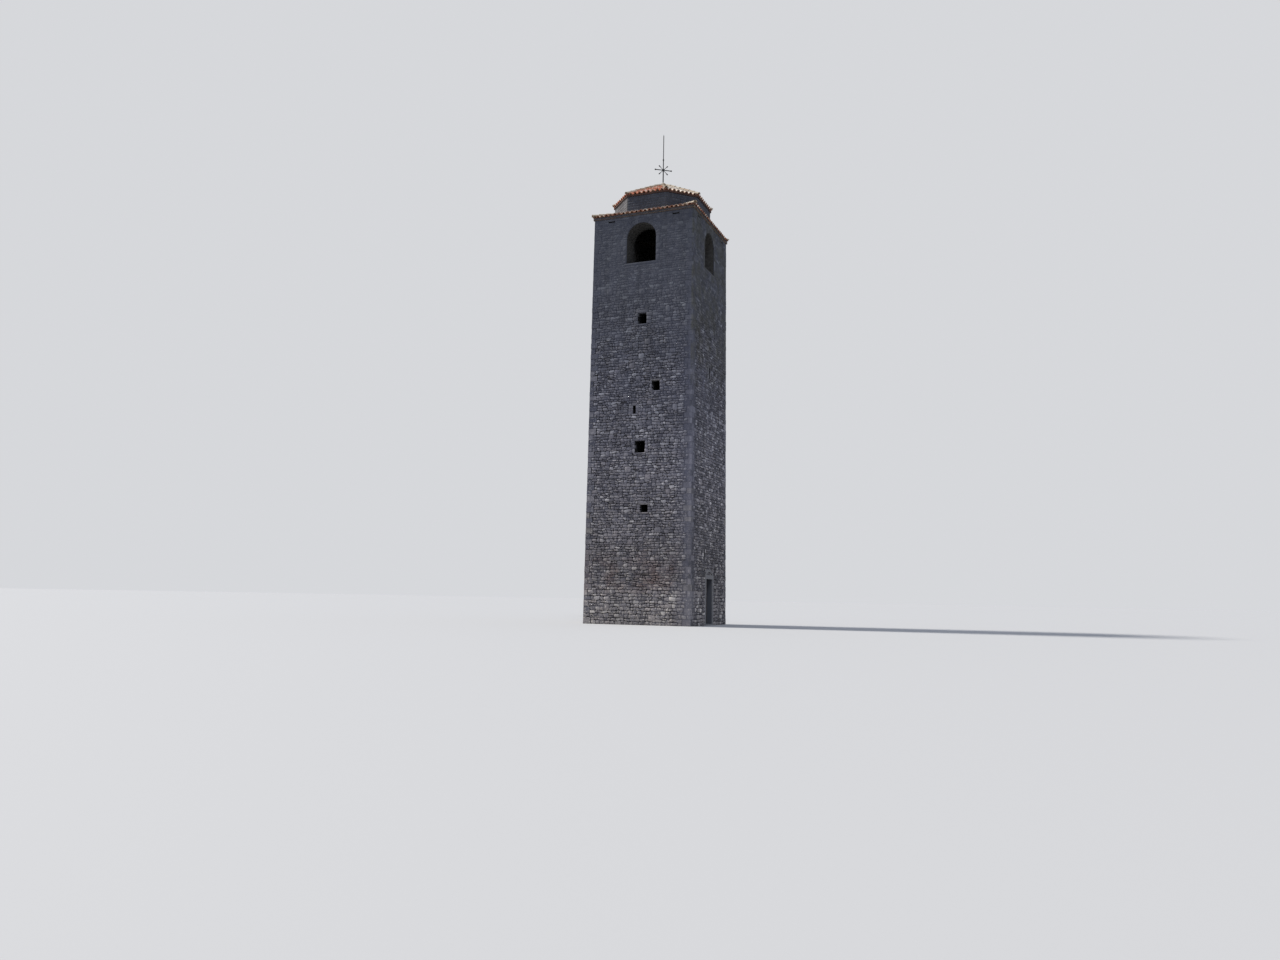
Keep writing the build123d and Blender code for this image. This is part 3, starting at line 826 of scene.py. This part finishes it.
voussoirs, voussoir_count, arch_reach = Pile(), 9, math.radians(41)
turns = [arch_reach * (1 - 2 * i / voussoir_count) for i in range(voussoir_count + 1)]
turns[1:-1] = [t + masons.uniform(-0.012, 0.012) for t in turns[1:-1]]
sizes = (door_arch_inner + 0.003, door_arch_outer)
for end, start in zip(turns, turns[1:]):
    outline = wedge(0.0, door_arch_centre, *sizes, math.pi / 2 + start, math.pi / 2 + end)
    proud = masons.uniform(0.019, 0.026)
    lay_stone(voussoirs, partial(shaft_point, 90), outline, proud, 0.012, masons, 0.0025)
voussoirs.piece("door_arch_voussoirs", door_stone_look, "dressed_stone")


# Door leaf: upright oak boards, nailed to three ledges on the inner face. The straps and their
# eyes turn on pintles leaded into the passage wall. Dark and weathered, never painted.

leaf_low, leaf_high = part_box("door_leaf")
board_count, ledge_depth, board_gap = 7, 0.018, 0.003
ledge_levels, ledge_half = (0.40, 1.00, 1.60), 0.06


def saw_board(pile, low, high, edge):
    """A board: a box with its upright edges eased."""
    (x0, y0, z0), (x1, y1, z1) = low, high
    plan = [(x0, y0 + edge), (x0 + edge, y0), (x1 - edge, y0), (x1, y0 + edge)]
    plan += [(x1, y1 - edge), (x1 - edge, y1), (x0 + edge, y1), (x0, y1 - edge)]
    pile.skin([[(x, y, z) for x, y in plan] for z in (z0, z1)])


leaf = Pile()
board_run = (leaf_high.y - leaf_low.y) / board_count
for i in range(board_count):
    start = leaf_low.y + i * board_run
    low = (leaf_low.x + ledge_depth, start + board_gap / 2, leaf_low.z)
    high = (leaf_high.x, start + board_run - board_gap / 2, leaf_high.z)
    saw_board(leaf, low, high, 0.004)
for level in ledge_levels:
    low = (leaf_low.x, leaf_low.y + 0.01, level - ledge_half)
    high = (leaf_low.x + ledge_depth, leaf_high.y - 0.01, level + ledge_half)
    saw_board(leaf, low, high, 0.003)

oak_look, place = finish("weathered_oak")
own = own_share(place)
figure = noise(stretched(place, (30, 30, 1.6)), 1.0, 8, 0.65)
oak = ramp(figure, shades((0.3, 44, 34, 28), (0.55, 66, 52, 42), (0.8, 88, 74, 62)))
oak = mixed(fade(own, 0, 1, 0, 0.4), oak, linear(50, 44, 40))
surface(oak_look, oak, 0.75)
relief(figure, 0.004)
leaf.piece("boarded_leaf", oak_look, "door_timber", "door", ["door_leaf"])

iron_look, place = finish("forged_iron")
scale = noise(place, 45, 6)
iron = ramp(scale, shades((0.35, 24, 25, 28), (0.65, 40, 38, 38), (0.8, 78, 50, 38)))
surface(iron_look, iron, 0.6, metallic=0.6)
relief(scale, 0.002)
dress(["door_straps", "door_pintles"], iron_look)

nails = Pile()
nail_radius, nail_sides = 0.009, 8


def nail_ring(y, z, out, radius):
    """One ring of points round a nail's head, on the outer face of the leaf."""
    turns = [2 * math.pi * k / nail_sides for k in range(nail_sides)]
    return [(leaf_high.x + out, y + radius * math.cos(t), z + radius * math.sin(t)) for t in turns]


for level in ledge_levels:
    for i in range(board_count):
        for shift in (-0.04, 0.04):
            y, z = leaf_low.y + (i + 0.5) * board_run + shift, level + masons.uniform(-0.02, 0.02)
            rings = ((-0.004, nail_radius), (0.001, nail_radius), (0.003, nail_radius / 2))
            nails.skin([nail_ring(y, z, out, radius) for out, radius in rings])
nails.piece("door_nails", iron_look, "iron", "door")


# Floors: limestone flags on the ground and in the passage, worn smooth, and a boarded floor under
# the bells' room that bears on the ledge inside the walls.


def laid(place, sizes, first, second, gap):
    """Flags or planks laid in rows, in two shades with dark gaps."""
    inputs = {"Vector": place, **sizes, "Color1": first, "Color2": second, "Mortar": gap}
    return node("TexBrick", inputs).outputs


flag_look, place = finish("limestone_flags")
sizes = {"Scale": 1.6, "Mortar Size": 0.01}
flags = laid(place, sizes, linear(104, 100, 94), linear(128, 122, 112), linear(60, 57, 54))
dirt = fade(noise(place, 2.2, 6), 0.3, 0.7, 0, 0.5)
surface(flag_look, mixed(dirt, flags["Color"], linear(84, 76, 68)), 0.7)
relief(flags["Fac"], -0.006)
dress(["ground_floor"], flag_look)

plank_look, place = finish("dry_planks")
sizes = {"Scale": 1.0, "Brick Width": 2.4, "Row Height": 0.18, "Mortar Size": 0.004}
planks = laid(place, sizes, linear(104, 88, 70), linear(128, 112, 92), linear(30, 25, 20))
figure = noise(stretched(place, (1.4, 26, 26)), 1.0, 7)
streak = fade(figure, 0.3, 0.8, 0, 0.5)
surface(plank_look, mixed(streak, planks["Color"], linear(70, 58, 46)), 0.8)
relief(figure, 0.003)
dress(["belfry_floor"], plank_look)


# Lantern deck: boards on the lantern's wall head that carry the upper roof, painted dark red brown
# as the shade under the tile ends.

deck_look, place = finish("deck_boards_painted_shade")
figure = noise(stretched(place, (5, 5, 40)), 1.0, 7)
# Dark red brown: painted shade under the tile ends
under_tile_shade = ramp(figure, shades((0.3, 40, 26, 22), (0.7, 84, 54, 42)))
surface(deck_look, under_tile_shade, 0.85)
relief(figure, 0.003)
dress(["lantern_roof_deck"], deck_look)


# Eaves courses: flat stones bedded in warm lime mortar on the wall tops. They carry the lowest
# tiles and bridge the corners under the lantern.

eaves_look, place = finish("warm_eaves_mortar")
clods = noise(place, 7, 7, 0.7)
eaves = ramp(clods, shades((0.3, 78, 62, 50), (0.5, 108, 88, 70), (0.7, 136, 116, 94)))
soot = fade(noise(stretched(place, (4, 4, 1)), 1.0, 5), 0.45, 0.7, 0, 0.55)
eaves = mixed(soot, eaves, linear(70, 60, 54))
# Inside the walls, below the course's top, the mortar is painted near black: painted shade
x, y, z = axes(place)
within = fade(plan_reach(x, y), 2.20, 2.12)
indoor_shade = times(within, fade(z, 17.12, 17.10))
surface(eaves_look, mixed(indoor_shade, eaves, linear(36, 31, 28)), 0.95)
relief(clods, 0.03)
dress([f"{side}_eaves_course" for side in side_angles], eaves_look)

eaves_low, eaves_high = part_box("front_eaves_course")
eaves_face, eaves_bed = -eaves_low.y, eaves_low.z + 0.045
slabs = Pile()
for angle in side_angles.values():
    stones = random.Random(angle + 41)
    on_eaves = partial(wall_point, angle, eaves_face)
    reach = eaves_face - 0.02
    for low, high in ((eaves_low.z, eaves_bed), (eaves_bed, eaves_high.z)):
        for outline in fill_course(low, high, -reach, reach, [], stones, 0.21, 0):
            outline = [(a, b + stones.uniform(-0.004, 0.004)) for a, b in outline]
            lay_stone(slabs, on_eaves, outline, stones.uniform(0.004, 0.035), 0.02, stones, 0.004)
slab_shades = shades((0, 94, 78, 64), (0.5, 122, 104, 88), (1, 146, 130, 112))
slabs.piece("eaves_slabs", stone_look("eaves_slabs", slab_shades), "eaves_mortar")


# Lower roof: hand-made half-round clay tiles, hollow side up as pans, and hollow side down as
# covers over the joints between them. Each course laps the one below. They lie loose on a bed of
# mortar, and dabs of it stop the ends of some covers at the eave.

tile_spacing, tile_length, tile_exposure = 0.2, 0.38, 0.30
cover_wide, cover_narrow, pan_radius, clay = 0.078, 0.062, 0.088, 0.012
arc_steps = 8
arc_turns = [math.pi * i / arc_steps for i in range(arc_steps + 1)]

# A tile's form: its size at both ends, where it lies there, and whether its hollow side is up
cover_base = (-0.062, -0.074)
cover_form = ((cover_wide, cover_narrow), cover_base, False)
pan_form = ((pan_radius - 0.012, pan_radius), (-0.070, -0.082), True)


def half_round(pile, to_world, at, start, end, form, roofers):
    """One tile along the slope: a half pipe that narrows from its first size to its second."""
    skew, lift = roofers.uniform(-0.006, 0.006), roofers.uniform(0, 0.006)
    sizes, base, opens_up = form
    sections = []
    for station, radius, height in zip((start, end), sizes, base):
        centre = at + skew * (station - start) / tile_length
        section = []
        for r, turns in ((radius, arc_turns), (radius - clay, arc_turns[::-1])):
            for t in turns:
                rise = radius - clay - r * math.sin(t) if opens_up else r * math.sin(t)
                section.append((centre - r * math.cos(t), station, height + lift + rise))
        sections.append(section)
    count = len(sections[0])
    points = [to_world(*p) for section in sections for p in section]
    faces = []
    for i in range(count):
        j = (i + 1) % count
        faces.append([i, j, count + j, count + i])
    for i in range(arc_steps):
        near, far = count - 1 - i, count - 2 - i
        faces.append([i, near, far, i + 1])
        faces.append([count + i, count + i + 1, count + far, count + near])
    pile.add(points, faces)


def slope_frame(angle, distance, level, pitch):
    """Places on a roof slope: across its eave, up its fall, and out from its plane."""
    turn, lean = math.radians(angle), math.radians(pitch)
    across = Vector((math.cos(turn), math.sin(turn), 0))
    out = Vector((math.sin(turn), -math.cos(turn), 0))
    up = -out * math.cos(lean) + Vector((0, 0, math.sin(lean)))
    normal = out * math.sin(lean) + Vector((0, 0, math.cos(lean)))
    origin = out * distance + Vector((0, 0, level))

    def to_world(a, b, c):
        """A point on the slope."""
        return tuple(origin + across * a + up * b + normal * c)

    return to_world


plugged_share = 0.4


def plug_tile(plugs, to_world, at, roofers):
    """A dab of mortar that stops the open end of a cover tile at the eave."""
    start, radius = roofers.uniform(0.012, 0.03), cover_wide - clay - 0.001
    arc = [(at + radius * math.cos(t), radius * math.sin(t) + cover_base[0]) for t in arc_turns]
    plugs.skin([[to_world(a, b, c) for a, c in arc[::-1]] for b in (start, start + 0.04)])


def lay_tiles(covers, pans, plugs, to_world, half_span, length_at, roofers):
    """Covers and pans in columns up a slope, as far as the slope runs at each column."""
    columns = round(2 * half_span / tile_spacing)
    step = 2 * half_span / columns
    for i in range(2 * columns + 1):
        at = -half_span + i * step / 2
        is_cover = i % 2 == 0
        run = length_at(at)
        if run < 0.1:
            continue
        if is_cover and roofers.random() < plugged_share:
            plug_tile(plugs, to_world, at, roofers)
        start = 0.0
        while start < run - 0.05:
            end = min(start + tile_length, run)
            jitter = roofers.uniform(-0.008, 0.004) if start else roofers.uniform(0, 0.012)
            pile, form = (covers, cover_form) if is_cover else (pans, pan_form)
            half_round(pile, to_world, at, start + jitter, end, form, roofers)
            start += tile_exposure


def clay_look(name, stops, lichen):
    """Unglazed clay: each tile its own tone, with lichen, soot and a sanded face."""
    made, place = finish(name)
    own = own_share(place)
    burn = fade(noise(place, 11, 6, 0.65), 0.4, 0.75, 0, 0.45)
    tone = mixed(burn, ramp(own, stops), linear(96, 62, 48))
    growth = fade(noise(place, 27, 7, 0.7), 0.5, 0.66, 0, lichen)
    surface(made, mixed(growth, tone, linear(190, 182, 166)), 0.85)
    relief(noise(place, 70, 7, 0.7), 0.003)
    return made


cream = shades((0, 128, 74, 54), (0.35, 168, 116, 90), (0.6, 190, 168, 144), (1, 222, 212, 196))
cover_look = clay_look("cream_cover_tiles", cream, 0.6)
terracotta = shades((0, 92, 52, 38), (0.5, 132, 74, 50), (1, 164, 102, 72))
pan_look = clay_look("terracotta_pan_tiles", terracotta, 0.15)

eave_half = -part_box("front_lower_roof")[0].y
course_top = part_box("front_lower_roof")[0].z
lantern_reach = -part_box("lantern_front_wall")[0].y
lantern_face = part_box("lantern_front_wall")[1].x
tile_edge, skirt_pitch = 0.08, 20.0
hip_reach = (lantern_reach + lantern_face) / 2


def skirt_length(across):
    """The lower roof's length up its slope, at a place along its eave."""
    far = abs(across)
    stop = far if far > hip_reach else min(lantern_reach, lantern_reach + lantern_face - far)
    return (eave_half - stop) / math.cos(math.radians(skirt_pitch))


eaves_plugs = Pile()
bed_inset, bed_start, bed_depth = 0.08, 0.05, -0.07
bed_corners = (hip_reach, lantern_face, -lantern_face, -hip_reach)
for side, angle in side_angles.items():
    roofers = random.Random(angle + 5)
    covers, pans, bed = Pile(), Pile(), Pile()
    to_world = slope_frame(angle, eave_half - 0.004, course_top + tile_edge, skirt_pitch)
    lay_tiles(covers, pans, eaves_plugs, to_world, eave_half - 0.065, skirt_length, roofers)
    ends = (bed_inset - eave_half, eave_half - bed_inset)
    top = [to_world(a, bed_start, bed_depth) for a in ends]
    top += [to_world(a, max(bed_start, skirt_length(a)), bed_depth) for a in bed_corners]
    bed.skin([[(x, y, course_top) for x, y, z in top], top])
    bed.piece(f"{side}_skirt_bed", eaves_look, "eaves_mortar", replaced=[f"{side}_lower_roof"])
    covers.piece(f"{side}_skirt_covers", cover_look, "roof_tile")
    pans.piece(f"{side}_skirt_pans", pan_look, "roof_tile")
eaves_plugs.piece("skirt_tile_plugs", eaves_look, "eaves_mortar")


# Lantern facing: the same limestone as the shaft, in small flush stones, on the eight sides of
# the lantern, in darker tones as painted shade under the upper roof. One corner side is painted pale,
# as painted sunlight.

lantern_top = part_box("lantern_front_wall")[1].z
corner_distance = (lantern_reach + lantern_face) / math.sqrt(2)
corner_half = (lantern_reach - lantern_face) / math.sqrt(2)
lantern_faces = [(a, lantern_reach, lantern_face) for a in side_angles.values()]
lantern_faces += [(a + 45, corner_distance, corner_half) for a in side_angles.values()]
# The front-left corner side is painted pale: painted sunlight on it
sunlit_side = 315
lantern_pile, sunlit_pile = Pile(), Pile()
for angle, distance, half in lantern_faces:
    pile = sunlit_pile if angle == sunlit_side else lantern_pile
    stones = random.Random(angle + 3)
    on_lantern = partial(wall_point, angle, distance)
    level = course_top
    while level < lantern_top - 0.02:
        top = level + stones.uniform(0.1, 0.13)
        top = lantern_top if lantern_top - top < 0.06 else top
        for outline in fill_course(level, top, 0.004 - half, half - 0.004, [], stones, 0.24, 0.08):
            lay_stone(pile, on_lantern, outline, stones.uniform(0.004, 0.010), 0.02, stones)
        level = top

# Darker tones than the shaft's facing: painted shade under the upper roof
lantern_shades = shades((0, 82, 80, 86), (0.5, 98, 96, 102), (0.9, 112, 110, 114), (1, 150, 146, 142))
lantern_look = stone_look("lantern_limestone", lantern_shades)
sunlit_shades = shades((0, 150, 138, 132), (0.5, 176, 164, 156), (1, 206, 196, 186))
sunlit_look = stone_look("sunlit_pale_limestone", sunlit_shades, smear=0.0)
lantern_pile.piece("lantern_facing", lantern_look)
sunlit_pile.piece("lantern_sunlit_facing", sunlit_look)


# Upper roof: eight tiled slopes that rise to one point, on boards laid over the deck. Laid like
# the lower roof, with the tiles cut where they meet the hips. The covers on the slopes that face right
# are painted pale, as painted sunlight.

orange = shades((0, 194, 104, 72), (0.4, 216, 134, 98), (0.6, 220, 170, 140), (1, 232, 218, 202))
orange_look = clay_look("terracotta_cover_tiles", orange, 0.45)
# Pale covers, with lichen, for the slopes that face right: painted sunlight
sunlit_pale_shades = shades((0, 206, 184, 160), (0.4, 222, 212, 196), (1, 230, 225, 214))
sunlit_pale_look = clay_look("sunlit_pale_cover_tiles", sunlit_pale_shades, 0.8)
bright_terracotta = shades((0, 138, 76, 54), (0.5, 176, 104, 74), (1, 200, 136, 104))
upper_pan_look = clay_look("terracotta_upper_pans", bright_terracotta, 0.2)

deck_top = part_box("lantern_roof_deck")[1].z
roof_reach = -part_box("upper_roof_main_slopes")[0].y
overhang = roof_reach - lantern_reach
roof_face = roof_reach - (lantern_reach - lantern_face) - overhang * (2 - math.sqrt(2))
roof_rise = 1.11
eave_level = deck_top + tile_edge
corner_reach = (roof_reach + roof_face) / math.sqrt(2)
corner_face = (roof_reach - roof_face) / math.sqrt(2)
point_gap, sunlit_slope_sides = 0.1, (45, 90, 135)


def length_to_hip(fall, half_eave, across):
    """An upper slope's length up to its hips, at a place along its eave."""
    return (fall - point_gap) * (1 - abs(across) / half_eave)


upper_slopes = {"main": (0, roof_reach, roof_face), "corner": (45, corner_reach, corner_face)}
deck_plugs = Pile()
for kind, (shift, distance, half_eave) in upper_slopes.items():
    orange_covers, sunlit_covers, pans, bed = Pile(), Pile(), Pile(), Pile()
    pitch = math.degrees(math.atan(roof_rise / distance))
    fall = math.hypot(roof_rise, distance)
    length_at = partial(length_to_hip, fall, half_eave)
    foot, head = half_eave - 0.03, fall - point_gap
    corners = [(-foot, 0.05), (foot, 0.05), (0.05, head), (-0.05, head)]
    for angle in side_angles.values():
        roofers = random.Random(angle + shift + 17)
        to_world = slope_frame(angle + shift, distance, eave_level, pitch)
        # Slopes that face right get the pale covers of painted sunlight
        covers = sunlit_covers if angle + shift in sunlit_slope_sides else orange_covers
        lay_tiles(covers, pans, deck_plugs, to_world, half_eave, length_at, roofers)
        bed.skin([[to_world(a, b, depth) for a, b in corners] for depth in (-0.14, -0.075)])
    bed.piece(f"upper_{kind}_bed", eaves_look, "roof_tile", replaced=[f"upper_roof_{kind}_slopes"])
    orange_covers.piece(f"upper_{kind}_covers", orange_look, "roof_tile")
    sunlit_covers.piece(f"bleached_{kind}_covers", sunlit_pale_look, "roof_tile")
    pans.piece(f"upper_{kind}_pans", upper_pan_look, "roof_tile")
deck_plugs.piece("upper_tile_plugs", eaves_look, "roof_tile")


# Hips and cap: half-round tiles bedded in pale mortar up every hip, each lapping the one below,
# and a cone of trowelled mortar at the point, round the foot of the pole.


def lay_hip(pile, beds, low, high, radius, roofers):
    """A row of half-round tiles from the low end of a hip to the high end."""
    low, high = Vector(low), Vector(high)
    up = (high - low).normalized()
    across = up.cross(Vector((0, 0, 1))).normalized()
    normal = across.cross(up)
    length = (high - low).length
    count = max(1, round(length / tile_exposure))

    def to_world(a, b, c):
        """A point on the hip."""
        return tuple(low + across * a + up * b + normal * c)

    for i in range(count):
        start, end = i * length / count, min(length, (i + 1.25) * length / count)
        form = ((radius, radius * 0.84), (0.004, -0.006), False)
        half_round(pile, to_world, 0, start, end, form, roofers)
    inner = radius - clay - 0.003
    section = [(-inner, -0.035), (inner, -0.035)]
    section += [(inner * 0.75, inner * 0.55), (-inner * 0.75, inner * 0.55)]
    beds.skin([[to_world(a, b, c) for a, c in section[::-1]] for b in (0.03, length - 0.01)])


hip_shades = shades((0, 160, 132, 104), (0.4, 180, 164, 140), (1, 192, 184, 168))
hip_look = clay_look("lime_washed_hip_tiles", hip_shades, 0.7)
lower_hip_radius, lower_hip_sink, lower_hip_foot = 0.085, 0.012, eave_half - 0.019
upper_hip_radius, upper_hip_sink, upper_hip_shares = 0.078, 0.014, (0.995, 0.09)
roofers = random.Random(29)
lower_hips, upper_hips, hip_beds = Pile(), Pile(), Pile()
hip_fall = math.tan(math.radians(skirt_pitch))
for angle in side_angles.values():
    ends = []
    for reach in (lower_hip_foot, hip_reach):
        level = course_top + tile_edge + (eave_half - reach) * hip_fall - lower_hip_sink
        ends.append(wall_point(angle, reach, reach, level, 0))
    lay_hip(lower_hips, hip_beds, *ends, lower_hip_radius, roofers)
    for across in (-roof_face, roof_face):
        ends = []
        for share in upper_hip_shares:
            level = eave_level + roof_rise * (1 - share) - upper_hip_sink
            ends.append(wall_point(angle, roof_reach * share, across * share, level, 0))
        lay_hip(upper_hips, hip_beds, *ends, upper_hip_radius, roofers)
lower_hips.piece("lower_hip_rows", hip_look, "hip_tile", replaced=["lower_hip_tiles"])
upper_hips.piece("upper_hip_rows", hip_look, "hip_tile", replaced=["upper_hip_tiles"])
hip_beds.piece("hip_mortar", eaves_look, "hip_tile")

cap_look, place = finish("trowelled_mortar")
lumps = noise(place, 9, 6)
cap = ramp(lumps, shades((0.3, 138, 131, 120), (0.7, 184, 177, 164)))
surface(cap_look, cap, 0.9)
relief(lumps, 0.02)
dress(["roof_cap"], cap_look)


# Finial: a forged iron pole with a knob, which stands on the deck, and a cross with four rays
# that sits on a shoulder of the pole.

dress(["finial_pole", "cross"], iron_look)


# Studio: a plain pale floor and surround, a key lamp high on the left, a weak fill lamp in front,
# and a camera that stands and looks as the one that took the photograph did.

floor_edge = 900
floor_corners = block(-floor_edge, floor_edge, -floor_edge, floor_edge)
ground = bpy.data.meshes.new("studio_floor")
ground.from_pydata([(x, y, 0) for x, y in floor_corners], [], [[0, 1, 2, 3]])
floor_look, _ = finish("pale_floor")
surface(floor_look, (0.475, 0.47, 0.465, 1), 0.9)
ground.materials.append(floor_look)
add_object("studio_floor", ground)

world = bpy.data.worlds.new("studio")
bpy.context.scene.world = world
world.use_nodes = True
parts = world.node_tree.nodes
lighting, shown = parts["Background"], parts.new("ShaderNodeBackground")
feed(lighting, "Color", (0.74, 0.82, 1.0, 1))
feed(lighting, "Strength", 0.48)
feed(shown, "Color", (0.675, 0.685, 0.71, 1))
rays = parts.new("ShaderNodeLightPath").outputs["Is Camera Ray"]
both = node("MixShader", {0: rays, 1: lighting.outputs[0], 2: shown.outputs[0]})
feed(parts["World Output"], "Surface", both.outputs[0])


def sun(name, azimuth, elevation, strength, colour, softness):
    """A distant lamp, from its bearing (0 is in front of the tower, 90 to the right) and height."""
    lamp = bpy.data.lights.new(name, "SUN")
    lamp.energy, lamp.color, lamp.angle = strength, colour, math.radians(softness)
    a, e = math.radians(azimuth), math.radians(elevation)
    toward = Vector((math.sin(a) * math.cos(e), -math.cos(a) * math.cos(e), math.sin(e)))
    add_object(name, lamp).rotation_euler = toward.to_track_quat("Z", "Y").to_euler()


sun("key", 275, 46, 4.2, (1.0, 0.98, 0.94), 8)
sun("fill", 24, 42, 0.6, (0.84, 0.89, 1.0), 15)

camera_data = bpy.data.cameras.new("camera")
camera_data.sensor_width = 36
camera_data.lens = 27.336
camera_data.clip_end = 2000
camera = add_object("camera", camera_data)
eye = Matrix.Translation((14.769, -38.335, 1.05))
turns = (("Z", 22.172), ("X", 90 + 6.944), ("Z", 1.008))
heading, tilt, roll = (Matrix.Rotation(math.radians(turn), 4, axis) for axis, turn in turns)
camera.matrix_world = eye @ heading @ tilt @ roll
bpy.context.scene.camera = camera
bpy.context.scene.view_settings.view_transform = "Standard"
